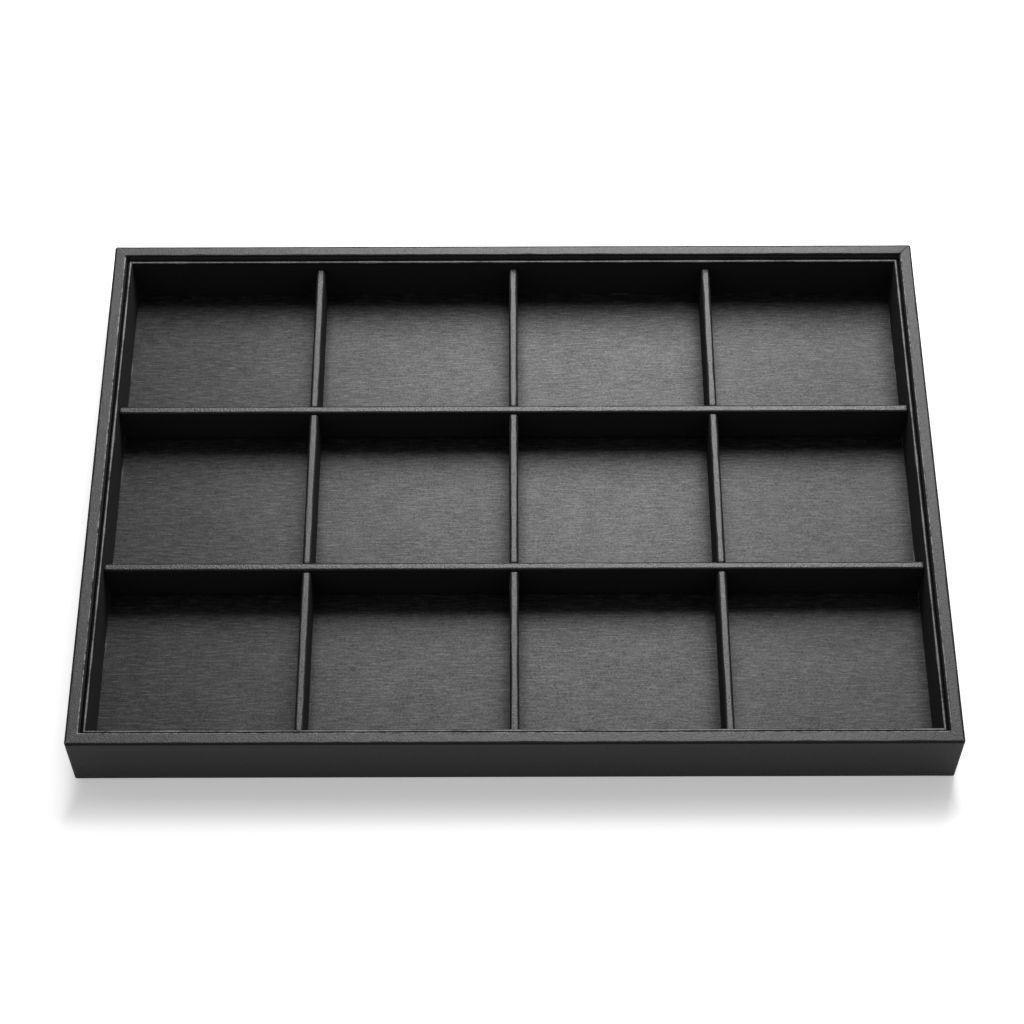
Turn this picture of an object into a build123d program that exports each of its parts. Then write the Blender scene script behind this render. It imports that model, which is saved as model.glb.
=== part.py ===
from build123d import *
import os

# Jewelry display tray: a low covered tray, a removable covered insert standing
# in it, and a grid of dividers that crosses inside the insert.
# Millimetres. +X runs to the right, +Y to the rear, +Z up.
# The origin is the centre of the footprint, on the surface the tray stands on.

# Outer tray, over its covers
tray_width = 350.0
tray_depth = 245.0
tray_height = 30.0
rail_thickness = 4.0
rail_edge_ease = 0.3
base_thickness = 2.0
cover_thickness = 0.6
rim_fold_radius = 0.6
upright_corner_radius = 1.0
turned_edge_radius = 0.4
tray_turn_in = 14.0
underside_sheet_thickness = 0.3
underside_sheet_inset = 3.0
base_lining_thickness = 0.3

# Insert
insert_side_gap = 0.55
insert_rim_drop = 2.45
insert_wall_thickness = 1.0
insert_edge_ease = 0.3
insert_floor_thickness = 0.8
insert_cover_thickness = 0.5
insert_fold_radius = 0.6
insert_corner_radius = 1.5
insert_turn_in = 10.0
floor_cover_thickness = 0.5

# Divider grid
long_divider_names = ["front", "rear"]
cross_divider_names = ["left", "middle", "right"]
divider_board_thickness = 2.8
divider_edge_ease = 0.2
divider_cover_thickness = 0.5
divider_fold_radius = 0.6
long_divider_height = 19.6
cross_divider_height = 18.7
divider_end_gap = 0.35
slot_side_gap = 0.25
slot_end_gap = 0.4

# Heights of the layers, from the table up
turn_in_level = underside_sheet_thickness
base_level = turn_in_level + cover_thickness
base_top = base_level + base_thickness
insert_level = base_top + base_lining_thickness
insert_board_level = insert_level + insert_cover_thickness
insert_board_top = insert_board_level + insert_floor_thickness
floor_level = insert_board_top + floor_cover_thickness
insert_rim_level = tray_height - insert_rim_drop

# Plan sizes that follow from the driving ones
tray_wall = rail_thickness + 2 * cover_thickness
well_width = tray_width - 2 * tray_wall
well_depth = tray_depth - 2 * tray_wall
insert_width = well_width - 2 * insert_side_gap
insert_depth = well_depth - 2 * insert_side_gap
insert_wall = insert_wall_thickness + 2 * insert_cover_thickness
floor_width = insert_width - 2 * insert_wall
floor_depth = insert_depth - 2 * insert_wall
divider_thickness = divider_board_thickness + 2 * divider_cover_thickness

os.makedirs("parts", exist_ok=True)


def save(part, name):
    """Label a finished piece and write its file."""
    part.label = name
    export_step(part, f"parts/{name}.step")


def plan_rectangle(width, depth, corner_radius, mode=Mode.ADD):
    """A rectangle with round corners, or sharp ones where no radius is left."""
    if corner_radius > 0:
        RectangleRounded(width, depth, corner_radius, mode=mode)
    else:
        Rectangle(width, depth, mode=mode)


def flat_sheet(width, depth, level, thickness):
    """A rectangular board or sheet, centred on the tray."""
    with BuildPart() as sheet:
        with BuildSketch(Plane.XY.offset(level)):
            Rectangle(width, depth)
        extrude(amount=thickness)
    return sheet.part


def ring_plan(width, depth, wall, corner_radius):
    """The outline of four walls in one ring, of even thickness round the corners."""
    plan_rectangle(width, depth, corner_radius)
    plan_rectangle(width - 2 * wall, depth - 2 * wall, corner_radius - wall, Mode.SUBTRACT)


def board_ring(width, depth, level, top, wall, corner_radius, edge_ease):
    """Four wall boards in one ring, with their top edges eased."""
    with BuildPart() as ring:
        with BuildSketch(Plane.XY.offset(level)):
            ring_plan(width, depth, wall, corner_radius)
        extrude(amount=top - level)
        chamfer(ring.edges().group_by(Axis.Z)[-1], edge_ease)
    return ring.part


def cover_ring(width, depth, level, top, wall, skin, corner_radius, fold_radius, turn_in, boards, base):
    """The skin folded over a ring of boards and turned in under the base board."""
    with BuildPart() as cover:
        with BuildSketch(Plane.XY.offset(level)):
            ring_plan(width, depth, turn_in, corner_radius)
        extrude(amount=skin)
        with BuildSketch(Plane.XY.offset(level)):
            ring_plan(width, depth, wall, corner_radius)
        extrude(amount=top - level)
        fillet(cover.edges().group_by(Axis.Z)[-1], fold_radius)
        fillet(cover.faces().sort_by(Axis.Z)[0].outer_wire().edges(), turned_edge_radius)
        add(boards, mode=Mode.SUBTRACT)
        add(base, mode=Mode.SUBTRACT)
    return cover.part


def mitred_side(ring, outline, name):
    """One side of a ring, cut at 45 degrees through the corners."""
    with BuildPart() as side:
        add(ring)
        with BuildSketch():
            with BuildLine():
                Polyline(*outline, close=True)
            make_face()
        extrude(amount=tray_height, mode=Mode.INTERSECT)
    save(side.part, name)


def side_outlines(width, depth):
    """Plan outlines of the four sides, which meet on the corners' 45 degree lines."""
    front_left = (-width / 2, -depth / 2)
    front_right = (width / 2, -depth / 2)
    rear_right = (width / 2, depth / 2)
    rear_left = (-width / 2, depth / 2)
    meet_left = (-width / 2 + depth / 2, 0)
    meet_right = (width / 2 - depth / 2, 0)
    return {
        "front": [front_left, front_right, meet_right, meet_left],
        "right": [front_right, rear_right, meet_right],
        "rear": [rear_right, rear_left, meet_left, meet_right],
        "left": [rear_left, front_left, meet_left],
    }


# Outer tray: base board between four rails, under one mitred cover on each side
rail_ring_width = tray_width - 2 * cover_thickness
rail_ring_depth = tray_depth - 2 * cover_thickness
base_board = flat_sheet(
    rail_ring_width - 2 * rail_thickness,
    rail_ring_depth - 2 * rail_thickness,
    base_level,
    base_thickness,
)
save(base_board, "base_board")

rail_ring = board_ring(
    rail_ring_width,
    rail_ring_depth,
    base_level,
    tray_height - cover_thickness,
    rail_thickness,
    upright_corner_radius - cover_thickness,
    rail_edge_ease,
)
tray_cover = cover_ring(
    tray_width,
    tray_depth,
    turn_in_level,
    tray_height,
    tray_wall,
    cover_thickness,
    upright_corner_radius,
    rim_fold_radius,
    tray_turn_in,
    rail_ring,
    base_board,
)
for side_name, side_outline in side_outlines(tray_width, tray_depth).items():
    mitred_side(rail_ring, side_outline, f"{side_name}_rail")
    mitred_side(tray_cover, side_outline, f"{side_name}_cover")

base_lining = flat_sheet(well_width, well_depth, base_top, base_lining_thickness)
save(base_lining, "base_lining")

# Underside sheet: flat on the turned-in covers, stepped up onto the bare base board inside them
with BuildPart() as underside_sheet:
    with BuildSketch():
        Rectangle(tray_width - 2 * underside_sheet_inset, tray_depth - 2 * underside_sheet_inset)
    extrude(amount=underside_sheet_thickness)
    with BuildSketch(Plane.XY.offset(underside_sheet_thickness)):
        Rectangle(tray_width - 2 * tray_turn_in, tray_depth - 2 * tray_turn_in)
    extrude(amount=cover_thickness)
    with BuildSketch():
        Rectangle(
            tray_width - 2 * tray_turn_in - 2 * underside_sheet_thickness,
            tray_depth - 2 * tray_turn_in - 2 * underside_sheet_thickness,
        )
    extrude(amount=cover_thickness, mode=Mode.SUBTRACT)
save(underside_sheet.part, "underside_sheet")

# Insert: floor board between four thin walls, one cover folded round all of them
wall_ring_width = insert_width - 2 * insert_cover_thickness
wall_ring_depth = insert_depth - 2 * insert_cover_thickness
insert_floor_board = flat_sheet(
    wall_ring_width - 2 * insert_wall_thickness,
    wall_ring_depth - 2 * insert_wall_thickness,
    insert_board_level,
    insert_floor_thickness,
)
save(insert_floor_board, "insert_floor_board")

insert_ring = board_ring(
    wall_ring_width,
    wall_ring_depth,
    insert_board_level,
    insert_rim_level - insert_cover_thickness,
    insert_wall_thickness,
    insert_corner_radius - insert_cover_thickness,
    insert_edge_ease,
)
for side_name, side_outline in side_outlines(insert_width, insert_depth).items():
    mitred_side(insert_ring, side_outline, f"insert_{side_name}_wall")

insert_cover = cover_ring(
    insert_width,
    insert_depth,
    insert_level,
    insert_rim_level,
    insert_wall,
    insert_cover_thickness,
    insert_corner_radius,
    insert_fold_radius,
    insert_turn_in,
    insert_ring,
    insert_floor_board,
)
save(insert_cover, "insert_wall_cover")

floor_cover = flat_sheet(
    floor_width,
    floor_depth,
    insert_board_top,
    floor_cover_thickness,
)
save(floor_cover, "insert_floor_cover")


def slotted(blank, place, slot_places, slot_size, slot_bottom, slot_top):
    """A divider blank in its place, with a slot at each crossing."""
    with BuildPart() as divider:
        with Locations(place):
            add(blank)
        with BuildSketch(Plane.XY.offset(slot_bottom)):
            with Locations(*slot_places):
                Rectangle(*slot_size)
        extrude(amount=slot_top - slot_bottom, mode=Mode.SUBTRACT)
    return divider.part


def covered_divider(name, size, height, place, slots):
    """The board of a divider and the cover folded over it, both with the same slots."""
    skin = divider_cover_thickness
    board_size = [extent - 2 * skin for extent in size]
    with BuildPart() as board_blank:
        with BuildSketch(Plane.XY.offset(floor_level)):
            Rectangle(*board_size)
        extrude(amount=height - skin)
        chamfer(board_blank.edges().group_by(Axis.Z)[-1], divider_edge_ease)
    board = slotted(board_blank.part, place, *slots)
    save(board, f"{name}_board")

    with BuildPart() as cover_blank:
        with BuildSketch(Plane.XY.offset(floor_level)):
            Rectangle(*size)
        extrude(amount=height)
        fillet(cover_blank.edges().group_by(Axis.Z)[-1], divider_fold_radius)
    with BuildPart() as cover:
        add(slotted(cover_blank.part, place, *slots))
        add(board, mode=Mode.SUBTRACT)
    save(cover.part, f"{name}_cover")


def even_spacing(span, count):
    """Centres of dividers that share a span into equal compartments."""
    compartment = (span - count * divider_thickness) / (count + 1)
    pitch = compartment + divider_thickness
    return [pitch * (index - (count - 1) / 2) for index in range(count)]


# Divider grid: long dividers are slotted from below and drop over cross dividers slotted from above
cross_places = even_spacing(floor_width, len(cross_divider_names))
long_places = even_spacing(floor_depth, len(long_divider_names))
halving_level = floor_level + cross_divider_height / 2
slot_width = divider_thickness + 2 * slot_side_gap

for divider_name, y in zip(long_divider_names, long_places):
    covered_divider(
        f"long_divider_{divider_name}",
        (floor_width - 2 * divider_end_gap, divider_thickness),
        long_divider_height,
        (0, y),
        (
            [(x, y) for x in cross_places],
            (slot_width, divider_thickness),
            floor_level,
            halving_level + slot_end_gap / 2,
        ),
    )

for divider_name, x in zip(cross_divider_names, cross_places):
    covered_divider(
        f"cross_divider_{divider_name}",
        (divider_thickness, floor_depth - 2 * divider_end_gap),
        cross_divider_height,
        (x, 0),
        (
            [(x, y) for y in long_places],
            (divider_thickness, slot_width),
            halving_level - slot_end_gap / 2,
            floor_level + cross_divider_height,
        ),
    )
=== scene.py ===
import math

import bmesh
import bpy
from mathutils import Matrix, Vector, noise


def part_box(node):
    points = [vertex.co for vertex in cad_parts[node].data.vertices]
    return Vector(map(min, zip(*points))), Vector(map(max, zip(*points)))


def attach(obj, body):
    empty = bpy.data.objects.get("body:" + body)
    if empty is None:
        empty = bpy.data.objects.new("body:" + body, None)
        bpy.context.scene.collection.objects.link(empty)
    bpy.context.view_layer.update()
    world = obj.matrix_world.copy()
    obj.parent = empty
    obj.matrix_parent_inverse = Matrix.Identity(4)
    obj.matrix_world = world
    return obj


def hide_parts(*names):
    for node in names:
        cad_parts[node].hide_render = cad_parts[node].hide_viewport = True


# Jewelry display tray: the leatherette skins of the tray, its insert and its dividers,
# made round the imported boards, and the studio that they stand in.
# Lengths in the making of pieces are millimetres, turned into metres when a mesh is made.
# Lengths in the finishes are metres.
# +X runs to the right, +Y to the rear, +Z up, from the centre of the footprint on the table.

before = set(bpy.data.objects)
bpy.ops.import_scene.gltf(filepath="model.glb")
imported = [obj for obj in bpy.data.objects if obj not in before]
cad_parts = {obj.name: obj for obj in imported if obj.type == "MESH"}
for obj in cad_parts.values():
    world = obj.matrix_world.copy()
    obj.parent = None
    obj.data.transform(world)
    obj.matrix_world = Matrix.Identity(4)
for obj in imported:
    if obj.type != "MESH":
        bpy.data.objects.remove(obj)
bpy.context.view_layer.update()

MM = 0.001


def measured(node):
    """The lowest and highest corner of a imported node, in millimetres."""
    low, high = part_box(node)
    return low / MM, high / MM


# Outer tray, read off its packed front side
cover_low, cover_high = measured("front_cover")
left_low = measured("left_cover")[0]
rail_low, rail_high = measured("front_rail")
tray_width = -2 * left_low.x
tray_depth = -2 * cover_low.y
tray_top = cover_high.z
tray_turn_in_level = cover_low.z
tray_turn_in = cover_high.y - cover_low.y
tray_skin = rail_low.y - cover_low.y
tray_wall = rail_high.y - cover_low.y + tray_skin
base_top = measured("base_board")[1].z
rim_fold_radius = 0.75
upright_corner_radius = 1.0

# Insert
insert_low, insert_high = measured("insert_wall_cover")
floor_low, floor_high = measured("insert_floor_cover")
insert_width = insert_high.x - insert_low.x
insert_depth = insert_high.y - insert_low.y
insert_rim = insert_high.z
insert_skin = floor_high.z - floor_low.z
insert_wall = insert_high.x - floor_high.x
insert_turn_in = 10.0
insert_fold_radius = 0.95
insert_corner_radius = 1.5
floor_level = floor_high.z

# Dividers
long_divider_low, long_divider_high = measured("long_divider_front_cover")
divider_thickness = long_divider_high.y - long_divider_low.y
divider_skin = 0.45
divider_fold_radius = 1.0
divider_flat = 1.05
long_divider_top = long_divider_high.z
cross_divider_top = measured("cross_divider_left_cover")[1].z
halving_level = (cross_divider_top + floor_level) / 2
slot_end_gap = 0.4
cross_places = [
    sum(corner.x for corner in measured(f"cross_divider_{name}_cover")) / 2
    for name in ("left", "middle", "right")
]
long_places = [
    sum(corner.y for corner in measured(f"long_divider_{name}_cover")) / 2 for name in ("front", "rear")
]

# The slots cut from below close up on the cross dividers, so that no light shows beside them
slot_width_from_above = 4.3
slot_width_from_below = 3.88

# Folds that every skin has: turned in under the base, round a board's edge, inside a corner
turned_edge_radius = 0.4
board_edge_radius = 0.2
tucked_radius = 0.15

# A skin is this much thinner than its packed cover, so that it stays clear of the board
skin_slack = 0.03

# Spacing of the cross-sections along a skin, away from its corners and slots
SKIN_PITCH = 2.6


def smooth_step(value, low, high):
    """0 below low, 1 above high, and an S between them."""
    share = min(max((value - low) / (high - low), 0.0), 1.0)
    return share * share * (3 - 2 * share)


def made_piece(name, mesh, body, finish, replaced):
    """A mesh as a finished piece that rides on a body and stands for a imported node."""
    piece = bpy.data.objects.new(name, mesh)
    bpy.context.scene.collection.objects.link(piece)
    piece.data.materials.append(finish)
    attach(piece, body)
    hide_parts(replaced)
    return piece


# A surface that turns more than this at an edge keeps a crease there
CREASE_ANGLE = math.radians(38)
# Points nearer than this are one point, as at the ends of a mitre
JOINED_WITHIN = 0.0004


def worked_mesh(name, bm):
    """The worked skin in metres, smooth but for its creases."""
    bmesh.ops.scale(bm, vec=Vector((MM, MM, MM)), verts=bm.verts)
    mesh = bpy.data.meshes.new(name)
    bm.to_mesh(mesh)
    bm.free()
    for polygon in mesh.polygons:
        polygon.use_smooth = True
    mesh.set_sharp_from_angle(angle=CREASE_ANGLE)
    return mesh


def closed_mesh(name, bm):
    """A skin that closes on itself, with every face turned outward."""
    bmesh.ops.remove_doubles(bm, verts=bm.verts, dist=JOINED_WITHIN)
    bmesh.ops.recalc_face_normals(bm, faces=bm.faces)
    return worked_mesh(name, bm)


def join_sections(bm, sections, following):
    """Faces between each closed cross-section and the one after it."""
    for before, after in zip(sections, following):
        for index in range(len(before)):
            beside = (index + 1) % len(before)
            bm.faces.new((before[index], before[beside], after[beside], after[index]))


def rounded_path(corners, arc_steps):
    """Points through square corners, each given as across, up, radius and steps to the next."""
    points = []
    for index, (across, up, radius, steps) in enumerate(corners):
        here = Vector((across, up))
        leave = here
        if radius > 0:
            before = (Vector(corners[index - 1][:2]) - here).normalized()
            after = (Vector(corners[index + 1][:2]) - here).normalized()
            for step in range(arc_steps):
                turn = step / arc_steps * math.pi / 2
                swing = before * (1 - math.sin(turn)) + after * (1 - math.cos(turn))
                points.append(here + swing * radius)
            leave = here + after * radius
        points.append(leave)
        if index + 1 < len(corners):
            following = corners[index + 1]
            arrive = Vector(following[:2])
            if following[2] > 0:
                arrive = arrive - (arrive - here).normalized() * following[2]
            for step in range(1, steps):
                points.append(leave.lerp(arrive, step / steps))
    return points


# Plan of a four-sided ring: the way that each side runs, and the way that it faces inward
SIDES = {
    "front": (Vector((1, 0)), Vector((0, 1))),
    "right": (Vector((0, 1)), Vector((-1, 0))),
    "rear": (Vector((-1, 0)), Vector((0, -1))),
    "left": (Vector((0, -1)), Vector((1, 0))),
}
# Gaps from a corner at which a side has cross-sections, close together beside the mitre
END_GAPS = [0, 0.1, 0.2, 0.32, 0.46, 0.65, 0.9, 1.25, 1.7, 2.3, 3.1, 4.2, 5.6, 7.5, 10, 13]
END_ZONE = END_GAPS[-1]
CORNER_STEPS = 7


def side_stations(length):
    """Where the cross-sections of a side stand: share, end, gap to the corner, turn round it."""
    turns = [math.pi / 4 * step / CORNER_STEPS for step in range(1, CORNER_STEPS + 1)]
    middle = max(2, round((length - 2 * END_ZONE) / SKIN_PITCH))
    left = [(-1, -1, 0, turn) for turn in reversed(turns)]
    left += [(-1, -1, gap, 0) for gap in END_GAPS]
    centre = [(2 * step / middle - 1, 0, END_ZONE, 0) for step in range(1, middle)]
    right = [(1, 1, gap, 0) for gap in reversed(END_GAPS)]
    right += [(1, 1, 0, turn) for turn in turns]
    return left + centre + right


class Ring:
    """The plan of a four-sided wrap with round corners."""

    def __init__(self, width, depth, corner_radius):
        self.width = width
        self.depth = depth
        self.corner_radius = corner_radius

    def length(self, side):
        return self.width if side in ("front", "rear") else self.depth

    def reach(self, side):
        return self.depth if side in ("front", "rear") else self.width

    def point(self, side, station, inset):
        """Where a station's cross-section is, at a depth in from the outer face."""
        share, end, gap, turn = station
        along, inward = SIDES[side]
        radius = max(self.corner_radius - inset, tucked_radius)
        straight = self.length(side) / 2 - inset - radius
        run = share * (straight - END_ZONE) + end * (END_ZONE - gap) + end * radius * math.sin(turn)
        depth = inset + radius * (1 - math.cos(turn))
        return along * run + inward * (depth - self.reach(side) / 2), run, depth


def folded_profile(turn_in, low, wall, top, bottom, fold_radius, skin, outside_steps, inside_steps):
    """The closed section of a folded skin: depth in, height, and the way out of its outer line."""
    outside = rounded_path(
        [
            (turn_in, low, 0, outside_steps[0]),
            (0, low, turned_edge_radius, outside_steps[1]),
            (0, top, fold_radius, outside_steps[2]),
            (wall, top, fold_radius, outside_steps[3]),
            (wall, bottom, 0, 1),
        ],
        arc_steps=7,
    )
    inside = rounded_path(
        [
            (wall - skin, bottom, 0, inside_steps[0]),
            (wall - skin, top - skin, board_edge_radius, inside_steps[1]),
            (skin, top - skin, board_edge_radius, inside_steps[2]),
            (skin, low + skin, 0, inside_steps[3]),
            (turn_in, low + skin, 0, 1),
        ],
        arc_steps=2,
    )
    line = outside + inside
    profile = []
    for index, point in enumerate(line):
        chord = line[(index + 1) % len(line)] - line[index - 1]
        outward = Vector((-chord.y, chord.x)).normalized() if index < len(outside) else None
        profile.append((point.x, point.y, outward))
    return profile


def skin_noise(place, wavelength, seed):
    """A smooth wander between 0 and 1 over a skin."""
    return 0.5 + 0.5 * noise.noise(place / wavelength + Vector((0, 0, seed)))


def wander(place, waves, seed=0):
    """How deep a skin sinks at a place, from waves of a depth, a wavelength and their own seed."""
    return sum(depth * skin_noise(place, wavelength, seed + own) for depth, wavelength, own in waves)


def folded_section(bm, ring, side, station, profile, sink_at, rise_at):
    """A skin's cross-section at one station, its outer line sunk and raised as the skin lies."""
    from_corner = station[2]
    section = []
    for across, up, outward in profile:
        spot, run, depth = ring.point(side, station, across)
        if outward is not None:
            sink = sink_at(Vector((spot.x, spot.y, up)), from_corner)
            spot, run, depth = ring.point(side, station, across - outward.x * sink)
            up += rise_at(side, run, depth, up) - outward.y * sink
        section.append(bm.verts.new((spot.x, spot.y, up)))
    return section


# How each end of a rim skin lies at its mitre: lift of its edge, and how far the lift reaches
RIM_ENDS = {
    ("front", -1): (0.12, 0.55),
    ("left", 1): (-0.10, 0.30),
    ("front", 1): (0.10, 0.45),
    ("right", -1): (-0.09, 0.30),
    ("rear", 1): (0.12, 0.60),
    ("left", -1): (-0.08, 0.30),
    ("rear", -1): (-0.16, 0.35),
    ("right", 1): (-0.13, 0.35),
}
# How far the top of a rim skin lies below its packed level, so that lifted ends stay near it
RIM_SETTLING = 0.06
# Waves of the skins as depth, wavelength and seed
TRAY_WAVES = ((0.05, 31, 0), (0.02, 9, 3))
TRAY_CREST_WAVES = ((0.02, 5, 5),)
INSERT_WAVES = ((0.05, 24, 40), (0.05, 7, 43))
FLOOR_WAVES = ((0.07, 30, 61), (0.04, 9, 67))
DIVIDER_WAVES = ((0.05, 11, 2), (0.03, 4, 4))


tray_ring = Ring(tray_width, tray_depth, upright_corner_radius)


def rim_crest(up):
    """0 on the walls of the tray and 1 on top of its rim."""
    return smooth_step(up, tray_top - 1.0, tray_top - 0.1)


def rim_end_rise(side, run, depth, up):
    """How far the top of a rim skin is lifted or pressed down beside its mitre."""
    lift, width = RIM_ENDS[side, 1 if run > 0 else -1]
    from_mitre = (tray_ring.length(side) / 2 - abs(run) - depth) / math.sqrt(2)
    # The skin gathers towards the inner end of the mitre
    gathered = 1 + 0.6 * smooth_step(depth, tray_wall - 2.2, tray_wall - 0.6)
    rise = lift * gathered * math.exp(-((from_mitre / width) ** 2))
    return rim_crest(up) * (rise - RIM_SETTLING)


def tray_side(side, finish):
    """The skin of one side of the tray, mitred at both ends."""
    profile = folded_profile(
        turn_in=tray_turn_in,
        low=tray_turn_in_level,
        wall=tray_wall,
        top=tray_top,
        bottom=base_top,
        fold_radius=rim_fold_radius,
        skin=tray_skin - skin_slack,
        outside_steps=(4, 13, 9, 11),
        inside_steps=(4, 2, 4, 3),
    )
    seed = 7.3 * list(SIDES).index(side)

    # Pulled tight at the mitres, so it wanders only between them
    def sink(place, from_corner):
        deep = wander(place, TRAY_WAVES, seed)
        deep += rim_crest(place.z) * wander(place, TRAY_CREST_WAVES, seed)
        return deep * smooth_step(from_corner, 0.5, 9)

    bm = bmesh.new()
    sections = [
        folded_section(bm, tray_ring, side, station, profile, sink, rim_end_rise)
        for station in side_stations(tray_ring.length(side))
    ]
    join_sections(bm, sections, sections[1:])
    bm.faces.new(sections[0])
    bm.faces.new(sections[-1])
    mesh = closed_mesh(f"{side}_skin", bm)
    made_piece(f"{side}_skin", mesh, "outer_tray", finish, f"{side}_cover")


def insert_skin_ring(finish):
    """The one skin that runs round the insert's four thin walls."""
    ring = Ring(insert_width, insert_depth, insert_corner_radius)
    profile = folded_profile(
        turn_in=insert_turn_in,
        low=insert_low.z,
        wall=insert_wall,
        top=insert_rim,
        bottom=floor_level - insert_skin,
        fold_radius=insert_fold_radius,
        skin=insert_skin - skin_slack,
        outside_steps=(3, 10, 2, 10),
        inside_steps=(3, 1, 3, 3),
    )

    def sink(place, from_corner):
        return wander(place, INSERT_WAVES) * smooth_step(from_corner, -1, 6)

    def level(side, run, depth, up):
        return 0

    bm = bmesh.new()
    # The last cross-section of a side is the first one of the next
    sections = [
        folded_section(bm, ring, side, station, profile, sink, level)
        for side in SIDES
        for station in side_stations(ring.length(side))[1:]
    ]
    join_sections(bm, sections, sections[1:] + sections[:1])
    mesh = closed_mesh("insert_skin", bm)
    made_piece("insert_skin", mesh, "insert", finish, "insert_wall_cover")


def spaced(marks, pitch, close, reach):
    """Places along a line through all its marks, close together beside each mark."""
    widening = 1.45
    places = set()
    for low, high in zip(marks, marks[1:]):
        near = []
        step = close
        gap = 0.0
        while gap < min(reach, (high - low) / 2):
            near.append(gap)
            gap += step
            step *= widening
        first = low + near[-1]
        last = high - near[-1]
        count = max(1, round((last - first) / pitch))
        places.update(low + gap for gap in near)
        places.update(high - gap for gap in near)
        places.update(first + (last - first) * index / count for index in range(count + 1))
    return sorted({round(place, 4) for place in places})


def floor_sheet(finish):
    """The brushed sheet glued down as the compartments' floor, its cut edges loose here and there."""
    half_width = floor_high.x
    half_depth = floor_high.y
    loose_strip = 0.7
    loose_lift = 0.25
    xs = spaced([-half_width, half_width], pitch=3.0, close=0.12, reach=6)
    ys = spaced([-half_depth, half_depth], pitch=3.0, close=0.12, reach=6)

    def surface(x, y):
        place = Vector((x, y, 0))
        edge = min(half_width - abs(x), half_depth - abs(y))
        sag = wander(place, FLOOR_WAVES)
        lift = loose_lift * smooth_step(loose_strip - edge, 0, loose_strip)
        lift *= smooth_step(skin_noise(place, 4.5, 71), 0.64, 0.78)
        # Held down where a divider stands on it
        from_dividers = [abs(y - crossing) for crossing in long_places]
        from_dividers += [abs(x - crossing) for crossing in cross_places]
        for distance in from_dividers:
            lift *= smooth_step(distance, 2.5, 4.5)
        return floor_level - sag * smooth_step(edge, 0, 3) + lift

    bm = bmesh.new()
    top = [[bm.verts.new((x, y, surface(x, y))) for y in ys] for x in xs]
    bottom = [[bm.verts.new((x, y, floor_low.z)) for y in ys] for x in xs]
    for grid in (top, bottom):
        for column, following in zip(grid, grid[1:]):
            for index in range(len(ys) - 1):
                bm.faces.new((column[index], following[index], following[index + 1], column[index + 1]))
    for upper, lower in (
        (top[0], bottom[0]),
        (top[-1], bottom[-1]),
        ([column[0] for column in top], [column[0] for column in bottom]),
        ([column[-1] for column in top], [column[-1] for column in bottom]),
    ):
        for index in range(len(upper) - 1):
            bm.faces.new((upper[index], upper[index + 1], lower[index + 1], lower[index]))
    mesh = closed_mesh("floor_sheet", bm)
    made_piece("floor_sheet", mesh, "insert", finish, "insert_floor_cover")


def divider_skin_piece(name, along_x, crossings, slotted_from_above, seed, finish):
    """The skin folded over one divider board, open below and cut away at its slots."""
    low, high = measured(f"{name}_cover")
    lengthwise, sideways = (0, 1) if along_x else (1, 0)
    start, stop = low[lengthwise], high[lengthwise]
    centre = (low[sideways] + high[sideways]) / 2
    half = (high[sideways] - low[sideways]) / 2
    top = high.z
    slot_width = slot_width_from_above if slotted_from_above else slot_width_from_below
    slot_level = halving_level + (-1 if slotted_from_above else 1) * slot_end_gap / 2
    borders = [crossing + side * slot_width / 2 for crossing in crossings for side in (-1, 1)]
    places = spaced([start, *borders, stop], pitch=SKIN_PITCH, close=0.1, reach=3)
    soft_ends = [start, stop] + (borders if slotted_from_above else [])
    # Each end of the fold, and each slot from above, is rounded down and drawn in a little
    end_radius, end_drop, end_narrowing = 0.8, 0.38, 0.10
    profile = rounded_path(
        [
            (-half, floor_level, 0, 4),
            (-half, slot_level, 0, 4),
            (-half, top, divider_fold_radius, 3),
            (half, top, divider_fold_radius, 4),
            (half, slot_level, 0, 4),
            (half, floor_level, 0, 1),
        ],
        arc_steps=8,
    )
    bm = bmesh.new()
    sections = []
    for place in places:
        from_end = min(abs(place - end) for end in soft_ends)
        droop = 1 - math.sqrt(max(0.0, 1 - max(0.0, 1 - from_end / end_radius) ** 2))
        section = []
        for across, up in profile:
            raised = smooth_step(up, slot_level, top - divider_fold_radius)
            crest = smooth_step(up, top - divider_fold_radius - 0.5, top)
            lean = 0.10 * (skin_noise(Vector((place, 0, 0)), 40, seed) - 0.5) * raised
            plump = wander(Vector((place, across + centre, up)), DIVIDER_WAVES, seed)
            on_face = abs(across) > 0.7
            across = across * (1 - end_narrowing * droop * crest) - math.copysign(plump, across) * on_face
            spot = Vector((0, 0, up - raised * end_drop * droop - crest * plump))
            spot[lengthwise] = place
            spot[sideways] = centre + across + lean
            section.append(bm.verts.new(spot))
        sections.append(section)
    for first, second, before, after in zip(places, places[1:], sections, sections[1:]):
        middle = (first + second) / 2
        in_slot = any(abs(middle - crossing) < slot_width / 2 for crossing in crossings)
        for index in range(len(profile) - 1):
            height = (profile[index].y + profile[index + 1].y) / 2
            if in_slot and (height > slot_level) == slotted_from_above:
                continue
            bm.faces.new((before[index], before[index + 1], after[index + 1], after[index]))
    loose = [vert for vert in bm.verts if not vert.link_faces]
    bmesh.ops.delete(bm, geom=loose, context="VERTS")
    bmesh.ops.recalc_face_normals(bm, faces=bm.faces)
    upward = sum(face.normal.z * face.calc_area() for face in bm.faces)
    if upward < 0:
        bmesh.ops.reverse_faces(bm, faces=bm.faces)
    mesh = worked_mesh(f"{name}_skin", bm)
    piece = made_piece(f"{name}_skin", mesh, "divider_grid", finish, f"{name}_cover")
    thicken = piece.modifiers.new("thickness of the skin", "SOLIDIFY")
    thicken.thickness = divider_skin * MM
    thicken.offset = -1
    thicken.use_even_offset = True


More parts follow.
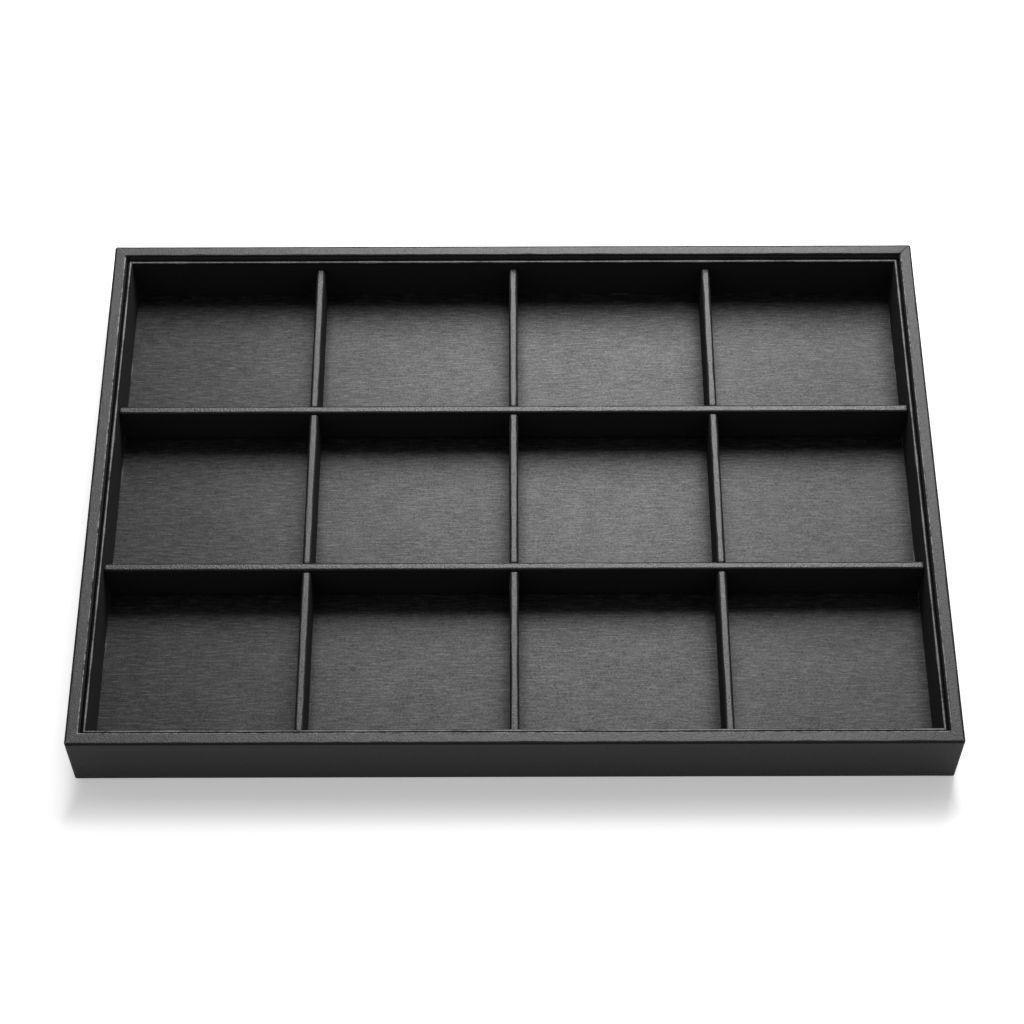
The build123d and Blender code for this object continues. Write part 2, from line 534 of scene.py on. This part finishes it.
class Value:
    """A socket among the nodes, with the arithmetic that adds its Math nodes."""

    def __init__(self, nodes, socket):
        self.nodes = nodes
        self.socket = socket

    def maths(self, operation, *terms):
        return self.nodes.node("ShaderNodeMath", {"operation": operation}, dict(enumerate(terms)))

    def __add__(self, other):
        return self.maths("ADD", self, other)

    def __radd__(self, other):
        return self.maths("ADD", other, self)

    def __sub__(self, other):
        return self.maths("SUBTRACT", self, other)

    def __rsub__(self, other):
        return self.maths("SUBTRACT", other, self)

    def __mul__(self, other):
        return self.maths("MULTIPLY", self, other)

    def __rmul__(self, other):
        return self.maths("MULTIPLY", other, self)

    def __abs__(self):
        return self.maths("ABSOLUTE", self)

    def least(self, other):
        return self.maths("MINIMUM", self, other)

    def most(self, other):
        return self.maths("MAXIMUM", self, other)

    def swing(self, amount):
        """A noise as a wander to both sides of 0."""
        return amount * (self - 0.5)

    def between(self, low, high):
        """0 where the value is low, 1 where it is high, and an S between them."""
        return self.nodes.node(
            "ShaderNodeMapRange",
            {"interpolation_type": "SMOOTHSTEP"},
            {"Value": self, "From Min": low, "From Max": high},
        )

    def near(self, centre, width):
        """1 where the value is centre, falling to 0 at width either side."""
        return 1 - abs(self - centre).between(0, width)


class Nodes:
    """The nodes of one finish or of the world, wired up as they are made."""

    def __init__(self, tree):
        self.tree = tree
        self.tree.nodes.clear()

    def feed(self, socket, value):
        if isinstance(value, Value):
            self.tree.links.new(value.socket, socket)
        else:
            socket.default_value = value

    def add(self, kind, settings=None, inputs=None):
        """A node of a kind, with its settings made and then its sockets fed."""
        made = self.tree.nodes.new(kind)
        for setting, value in (settings or {}).items():
            setattr(made, setting, value)
        for socket, value in (inputs or {}).items():
            self.feed(made.inputs[socket], value)
        return made

    def node(self, kind, settings=None, inputs=None, output=0):
        """One output of a new node."""
        return Value(self, self.add(kind, settings, inputs).outputs[output])


class Finish(Nodes):
    """A procedural material of one shader, built up by nodes."""

    def __init__(self, name, **constants):
        self.material = bpy.data.materials.new(name)
        self.material.use_nodes = True
        super().__init__(self.material.node_tree)
        even = {socket.replace("_", " "): value for socket, value in constants.items()}
        self.shader = self.add("ShaderNodeBsdfPrincipled", inputs=even)
        self.add("ShaderNodeOutputMaterial", inputs={"Surface": Value(self, self.shader.outputs[0])})

    def place(self):
        return self.node("ShaderNodeTexCoord", output="Object")

    def split(self, vector):
        parts = self.add("ShaderNodeSeparateXYZ", inputs={0: vector})
        return [Value(self, socket) for socket in parts.outputs]

    def stretched(self, vector, counts):
        """A place measured in repeats per metre along X, Y and Z, or one count for all three."""
        if not isinstance(counts, tuple):
            counts = (counts, counts, counts)
        return self.node("ShaderNodeVectorMath", {"operation": "MULTIPLY"}, {0: vector, 1: counts})

    def cloud(self, vector, counts, detail, roughness=0.5):
        """Soft noise between about 0.2 and 0.8."""
        return self.node(
            "ShaderNodeTexNoise",
            {"noise_dimensions": "3D"},
            {
                "Vector": self.stretched(vector, counts),
                "Scale": 1.0,
                "Detail": detail,
                "Roughness": roughness,
            },
        )

    def pebbles(self, vector, count):
        """Distance from the nearest pebble of a pressed grain."""
        return self.node(
            "ShaderNodeTexVoronoi",
            {"feature": "SMOOTH_F1"},
            {
                "Vector": self.stretched(vector, count),
                "Scale": 1.0,
                "Smoothness": 0.6,
                "Randomness": 1.0,
            },
        )

    def solid(self, colour):
        """A plain colour with its alpha, or a linked one as it is."""
        return (*colour, 1.0) if isinstance(colour, tuple) else colour

    def colour_mix(self, share, first, second):
        return self.node(
            "ShaderNodeMix",
            {"data_type": "RGBA"},
            {0: share, 6: self.solid(first), 7: self.solid(second)},
            output=2,
        )

    def colour(self, value):
        self.feed(self.shader.inputs["Base Color"], value)

    def roughness(self, value):
        self.feed(self.shader.inputs["Roughness"], value)

    def gloss(self, value):
        """How much of the clear top coat is left."""
        self.feed(self.shader.inputs["Coat Weight"], value)

    def glow(self, value):
        self.feed(self.shader.inputs["Emission Color"], value)

    def relief(self, height, distance):
        """Raises the surface by a height between 0 and 1 of a distance in metres."""
        raised = self.node(
            "ShaderNodeBump",
            inputs={"Strength": 1.0, "Distance": distance, "Height": height},
        )
        self.feed(self.shader.inputs["Normal"], raised)


def grey(level):
    return (level, level, level)


def black(level):
    """A black of the leatherette, a touch cooler than grey."""
    return (level, level, 1.02 * level)


# Pale grey of the lines along folds and mitres: painted highlight, and wear.
PALE_WEAR_AND_HIGHLIGHT = (0.23, 0.23, 0.233)
COAT_IOR = 1.5

# How far below a skin's top the finish of its wall gives way to that of its fold
WALL_STARTS = 1.35
FOLD_STARTS = 0.95
# How far the flat's edge strays, and where its finish fades out, from the flat's half width
FLAT_EDGE_STRAY = 1.3
FLAT_EDGE_FADE = (-0.30, 0.15)
# The tray's top is duller towards its right end, between these places in metres
DULLER_RIGHT_END = (0.13, 0.17)


def leatherette_finish(name, specular, gloss, crown, top, fold, wall):
    """Black leatherette with a fine pressed grain, its light and shade partly painted: a dull wall, a fold
    painted dark as shade, and a glossier flat in mottled patches.
    """
    skin = Finish(
        name,
        Specular_IOR_Level=specular,
        Coat_Roughness=top["roughness"],
        Coat_IOR=COAT_IOR,
    )
    place = skin.place()
    x, y, z = skin.split(place)
    from_middle, half_width, top_level = crown(x, y)
    pebble = skin.pebbles(place, 1500)
    fine = skin.cloud(place, 2100, detail=1)
    dots = skin.cloud(place, 650, detail=0)
    patch = skin.cloud(place, 420, detail=2)
    blotch = skin.cloud(place, 75, detail=3, roughness=0.55)

    near_top = z.between((top_level - WALL_STARTS) * MM, (top_level - FOLD_STARTS) * MM)
    flat_ends, fold_starts = ((half_width + fade) * MM for fade in FLAT_EDGE_FADE)
    ragged = from_middle + blotch.swing(FLAT_EDGE_STRAY * MM)
    flat = near_top * (1 - ragged.between(flat_ends, fold_starts))

    # Painted shade: the fold is given a darker colour than the wall, for the shade in the crease.
    dark = skin.colour_mix(near_top, wall["colour"], fold["colour"])
    # Painted light: where the flat's colour is lighter than the wall's, as on the insert and the dividers,
    # it is a painted highlight on their tops.
    plain = skin.colour_mix(flat, dark, top["colour"])
    # The flat is painted lighter, towards its light colour, in mottled patches.
    mottled = 0.5 * blotch.between(0.3, 0.7) + 0.5 * fine.between(0.35, 0.65)
    shaded = skin.colour_mix(flat * mottled, plain, top["light"])
    broken = patch.between(0.25, 0.5) * (0.5 + 0.6 * dots.between(0.4, 0.6))
    # Pale lines along the folds and mitres, broken up: painted highlight and wear.
    wear_and_highlight = wear_and_painted_highlight(x, y, near_top) * broken
    skin.colour(skin.colour_mix(wear_and_highlight, shaded, PALE_WEAR_AND_HIGHLIGHT))

    rough = wall["roughness"] + (fold["roughness"] - wall["roughness"]) * near_top
    rough = rough + (top["roughness"] - fold["roughness"]) * flat
    skin.roughness(rough + patch.swing(0.05) + blotch.swing(0.07) + fine.swing(0.10))
    dulled = 1 - 0.35 * x.between(*DULLER_RIGHT_END)
    pressed = 1 + fine.swing(2.2) + patch.swing(0.8) + blotch.swing(0.5)
    skin.gloss(gloss * flat * dulled * pressed)
    skin.relief(0.9 * pebble + 0.9 * fine, 0.00015)
    return skin.material


# Middle of the finish's flat on the insert's rim, in from the tray's outer faces
insert_flat_inset = (tray_width - insert_width + insert_wall) / 2 + 0.25
# Middle of the finish's flat on the tray's rim
tray_flat_inset = tray_wall / 2 + 0.15


def insets(x, y):
    """How far in a place is from the tray's sides, and from its front or rear."""
    return tray_width / 2 * MM - abs(x), tray_depth / 2 * MM - abs(y)


def nearest_inset(x, y):
    """How far in from the tray's nearest outer face a place is."""
    from_side, from_end = insets(x, y)
    return from_side.least(from_end)


def tray_crown(x, y):
    """Distance from the middle of the tray's rim, half the width of its flat, and its level."""
    return abs(nearest_inset(x, y) - tray_flat_inset * MM), tray_wall / 2 - 0.70, tray_top


def insert_crown(x, y):
    """The same for the insert's rim, whose thin wall leaves almost no flat."""
    return abs(nearest_inset(x, y) - insert_flat_inset * MM), insert_wall / 2 - 0.68, insert_rim


def long_divider_crown(x, y):
    """The same for the two side-to-side dividers."""
    return abs(abs(y) - long_places[-1] * MM), divider_flat, long_divider_top


def cross_divider_crown(x, y):
    """The same for the three front-to-rear dividers, of which one is in the middle."""
    half_pitch = cross_places[-1] / 2 * MM
    return abs(abs(abs(x) - half_pitch) - half_pitch), divider_flat, cross_divider_top


def wear_and_painted_highlight(x, y, near_top):
    """Pale lines of painted highlight and wear along the inner fold of the tray's rim, along the insert's
    rim and at the mitres.
    """
    from_side, from_end = insets(x, y)
    inset = from_side.least(from_end)
    inner_fold = inset.near((tray_wall - 0.36) * MM, 0.34 * MM)
    insert_line = inset.near(insert_flat_inset * MM, 0.42 * MM)

    # A mitre's pale line is strongest at its inner end, and left out at the rear right corner
    mitre = (from_side - from_end).near(0, 0.42 * MM)
    inner_end = inset.near((tray_wall - 0.9) * MM, 1.0 * MM)
    on_rim = 1 - inset.between((tray_wall - 0.2) * MM, tray_wall * MM)
    corner_without_pale_line = x.between(0, 1 * MM) * y.between(0, 1 * MM)
    mitre = mitre * on_rim * (1 - corner_without_pale_line) * (0.55 + 0.45 * inner_end)

    # The rear rim's inner fold gets no pale line either
    rear = y.between((tray_depth / 2 - 6) * MM, (tray_depth / 2 - 5.5) * MM)
    return near_top * (0.95 * inner_fold * (1 - rear) + 0.45 * insert_line + mitre)


def brushed_finish():
    """Leatherette with a brushed top coat, streaked from side to side, for the compartments' floor."""
    coat_roughness = 0.45
    sheet = Finish(
        "brushed_leatherette",
        Specular_IOR_Level=0.11,
        Coat_Roughness=coat_roughness,
        Coat_IOR=COAT_IOR,
    )
    place = sheet.place()
    x, y, _ = sheet.split(place)
    streak = sheet.cloud(place, (140, 1150, 600), detail=1)
    hair = sheet.cloud(place, (230, 2500, 1500), detail=1)
    speck = sheet.cloud(place, 1900, detail=0)
    blotch = sheet.cloud(place, (60, 95, 70), detail=2)
    cloth = sheet.cloud(place, (150, 260, 200), detail=2)

    ground = sheet.colour_mix(streak.between(0.35, 0.65), black(0.003), black(0.010))
    combed = hair.between(0.50, 0.70) * streak.between(0.40, 0.60)
    sheet.colour(sheet.colour_mix(combed, ground, black(0.030)))

    # Less gloss beside a divider or a wall, as painted shade there, and towards both ends
    from_divider = cross_divider_crown(x, y)[0] - divider_thickness / 2 * MM
    from_wall = floor_high.x * MM - abs(x)
    shaded_beside_walls = 0.74 + 0.26 * from_divider.least(from_wall).between(0, 4.5 * MM)
    duller_towards_ends = 1 - 0.20 * abs(x).between(0.045, 0.150)
    texture = streak.swing(0.38) + hair.swing(0.32) + speck.swing(0.98) + blotch.swing(0.36)
    sheet.gloss((0.62 + texture) * shaded_beside_walls * duller_towards_ends)
    sheet.roughness(coat_roughness + blotch.swing(0.08) + cloth.swing(0.06) + streak.swing(0.08))
    sheet.relief(0.7 * streak + 0.5 * hair + 0.3 * speck, 0.00004)
    return sheet.material


def board_finish(name, pale, dark, counts):
    """Pressed board: short fibres lying every way in its faces."""
    board = Finish(name, Specular_IOR_Level=0.3)
    place = board.place()
    fibre = board.cloud(place, counts, detail=3, roughness=0.65)
    speck = board.cloud(place, 1500, detail=2, roughness=0.6)
    blotch = board.cloud(place, 60, detail=2)
    base = board.colour_mix(fibre.between(0.35, 0.65), dark, pale)
    board.colour(board.colour_mix(0.4 * speck.between(0.6, 0.75), base, dark))
    board.roughness(0.82 + blotch.swing(0.12))
    board.relief(fibre + 0.6 * speck, 0.00008)
    return board.material


def divider_finish(name, specular, crown, top):
    """The leatherette of the dividers, whose two kinds differ in the shine and the painted light of their
    tops.
    """
    return leatherette_finish(
        name,
        specular,
        gloss=0.12,
        crown=crown,
        top=top,
        # Painted shade: the fold is darker than the wall.
        fold={"colour": black(0.006), "roughness": 0.65},
        wall={"colour": black(0.011), "roughness": 0.80},
    )


# The tray's wall is painted lighter than its top, as light on its outer faces, and its fold darker, as
# shade in the crease.
tray_leatherette = leatherette_finish(
    "tray_leatherette",
    specular=0.35,
    gloss=0.60,
    crown=tray_crown,
    top={"colour": black(0.012), "light": black(0.028), "roughness": 0.53},
    fold={"colour": black(0.002), "roughness": 0.78},
    wall={"colour": black(0.037), "roughness": 0.60},
)
# The insert's flat is painted far lighter than its wall, as a highlight along its rim, and its fold darker,
# as shade.
insert_leatherette = leatherette_finish(
    "insert_leatherette",
    specular=0.20,
    gloss=0.10,
    crown=insert_crown,
    top={"colour": black(0.066), "light": black(0.125), "roughness": 0.40},
    fold={"colour": black(0.003), "roughness": 0.80},
    wall={"colour": black(0.013), "roughness": 0.85},
)
# The dividers' tops are painted lighter than their walls, as light on the tops.
long_divider_leatherette = divider_finish(
    "long_divider_leatherette",
    specular=0.26,
    crown=long_divider_crown,
    top={"colour": black(0.036), "light": black(0.076), "roughness": 0.27},
)
cross_divider_leatherette = divider_finish(
    "cross_divider_leatherette",
    specular=0.18,
    crown=cross_divider_crown,
    top={"colour": black(0.050), "light": black(0.090), "roughness": 0.29},
)
brushed_leatherette = brushed_finish()
fibreboard = board_finish("fibreboard", (0.36, 0.26, 0.17), (0.22, 0.15, 0.09), (900, 900, 300))
black_card = board_finish("black_card", (0.032, 0.031, 0.030), grey(0.014), (700, 700, 500))
lining_paper = board_finish("lining_paper", (0.020, 0.020, 0.021), grey(0.010), (500, 1100, 500))
underside_paper = board_finish(
    "underside_paper", (0.030, 0.030, 0.031), (0.016, 0.016, 0.017), (600, 1000, 500)
)

for side in SIDES:
    tray_side(side, tray_leatherette)
insert_skin_ring(insert_leatherette)
floor_sheet(brushed_leatherette)
for index, name in enumerate(("front", "rear")):
    divider_skin_piece(
        f"long_divider_{name}",
        along_x=True,
        crossings=cross_places,
        slotted_from_above=False,
        seed=80 + 5 * index,
        finish=long_divider_leatherette,
    )
for index, name in enumerate(("left", "middle", "right")):
    divider_skin_piece(
        f"cross_divider_{name}",
        along_x=False,
        crossings=long_places,
        slotted_from_above=True,
        seed=95 + 5 * index,
        finish=cross_divider_leatherette,
    )

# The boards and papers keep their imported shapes. A node takes the first finish whose word it holds
BOARD_FINISHES = {
    "rail": fibreboard,
    "base_board": fibreboard,
    "wall": black_card,
    "insert_floor_board": black_card,
    "divider": black_card,
    "base_lining": lining_paper,
    "underside_sheet": underside_paper,
}
for name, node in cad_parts.items():
    if not node.hide_render:
        finish = next(made for word, made in BOARD_FINISHES.items() if word in name)
        node.data.materials.clear()
        node.data.materials.append(finish)


def disc(name, radii, segments):
    """A flat disc at table level, divided into rings."""
    bm = bmesh.new()
    turns = [2 * math.pi * step / segments for step in range(segments)]
    middle = bm.verts.new((0, 0, 0))
    rings = [
        [bm.verts.new((radius * math.cos(turn), radius * math.sin(turn), 0)) for turn in turns]
        for radius in radii
    ]
    for step in range(segments):
        beside = (step + 1) % segments
        bm.faces.new((middle, rings[0][step], rings[0][beside]))
        for inner, outer in zip(rings, rings[1:]):
            bm.faces.new((inner[step], outer[step], outer[beside], inner[beside]))
    mesh = bpy.data.meshes.new(name)
    bm.to_mesh(mesh)
    bm.free()
    return mesh


def pale_floor():
    """A wide pale floor that the camera sees lit; its painted glow, seen only by the camera, is weaker
    close to the tray, where its shadow lies, and brighter further off, where it paints the shadow's outer
    part lighter.
    """
    pale = Finish(
        "pale_floor",
        Base_Color=(*grey(0.80), 1.0),
        Roughness=0.9,
        Specular_IOR_Level=0.0,
        Emission_Strength=1.0,
    )
    seen = pale.node("ShaderNodeLightPath", output="Is Camera Ray")
    x, y, _ = pale.split(pale.place())
    # Painted light: the camera's glow rises outward from the tray's sides and front, lightening the outer
    # part of its shadow.
    beside = (abs(x) - tray_width / 2 * MM).between(-0.004, 0.005)
    before = (abs(y) - tray_depth / 2 * MM).between(0.006, 0.023)
    at_tray, away_from_tray = grey(0.32), grey(0.57)
    bright = pale.colour_mix(beside.most(before), at_tray, away_from_tray)
    pale.glow(pale.colour_mix(seen, grey(0.0), bright))

    floor = bpy.data.objects.new("studio_floor", disc("studio_floor", (0.3, 0.6, 1.2, 2.4, 4.8, 9.6), 48))
    bpy.context.scene.collection.objects.link(floor)
    floor.data.materials.append(pale.material)


pale_floor()


def softbox(name, azimuth, elevation, distance, width, height, radiance):
    """A rectangular studio lamp that faces the tray. Radiance 1 is white paper in full light."""
    lamp = bpy.data.lights.new(name, "AREA")
    lamp.shape = "RECTANGLE"
    lamp.size = width
    lamp.size_y = height
    lamp.energy = radiance * math.pi * width * height
    round_z, above = math.radians(azimuth), math.radians(elevation)
    away = Vector(
        (
            math.sin(round_z) * math.cos(above),
            math.cos(round_z) * math.cos(above),
            math.sin(above),
        )
    )
    placed = bpy.data.objects.new(name, lamp)
    placed.location = away * distance
    placed.rotation_mode = "QUATERNION"
    placed.rotation_quaternion = away.to_track_quat("Z", "Y")
    placed.visible_camera = False
    bpy.context.scene.collection.objects.link(placed)


# Behind the tray and a little to the right
softbox("rear_softbox", azimuth=12, elevation=51, distance=0.75, width=0.53, height=0.50, radiance=9.7)


def studio_world():
    """White to the camera, and a low even light on the tray."""
    white = (*grey(1.0), 1.0)
    world = bpy.data.worlds.new("studio")
    world.use_nodes = True
    sky = Nodes(world.node_tree)
    seen = sky.node("ShaderNodeLightPath", output="Is Camera Ray")
    around = sky.node("ShaderNodeBackground", inputs={"Color": white, "Strength": 0.35})
    backdrop = sky.node("ShaderNodeBackground", inputs={"Color": white, "Strength": 1.0})
    mixed = sky.node("ShaderNodeMixShader", inputs={0: seen, 1: around, 2: backdrop})
    sky.add("ShaderNodeOutputWorld", inputs={"Surface": mixed})
    bpy.context.scene.world = world


studio_world()

# The camera as fitted to the photograph's edges: above the front, looking down at the tray
CAMERA_PLACE = Vector((-0.000995, -0.564631, 0.896511))
CAMERA_PITCH = math.radians(57.677)
CAMERA_YAW = math.radians(0.0221)
CAMERA_ROLL = math.radians(-0.1433)
SENSOR_WIDTH = 36.0
LENS = 87.828


def camera():
    """The camera of the photograph."""
    forward = Vector(
        (
            math.sin(CAMERA_YAW) * math.cos(CAMERA_PITCH),
            math.cos(CAMERA_YAW) * math.cos(CAMERA_PITCH),
            -math.sin(CAMERA_PITCH),
        )
    )
    level = Vector((math.cos(CAMERA_YAW), -math.sin(CAMERA_YAW), 0))
    upright = level.cross(forward)
    right = level * math.cos(CAMERA_ROLL) + upright * math.sin(CAMERA_ROLL)
    up = upright * math.cos(CAMERA_ROLL) - level * math.sin(CAMERA_ROLL)
    axes = Matrix((right, up, -forward)).transposed()
    data = bpy.data.cameras.new("camera")
    data.sensor_width = SENSOR_WIDTH
    data.lens = LENS
    data.clip_start = 0.01
    data.clip_end = 50
    placed = bpy.data.objects.new("camera", data)
    placed.matrix_world = Matrix.Translation(CAMERA_PLACE) @ axes.to_4x4()
    bpy.context.scene.collection.objects.link(placed)
    bpy.context.scene.camera = placed


camera()
bpy.context.scene.view_settings.view_transform = "Standard"
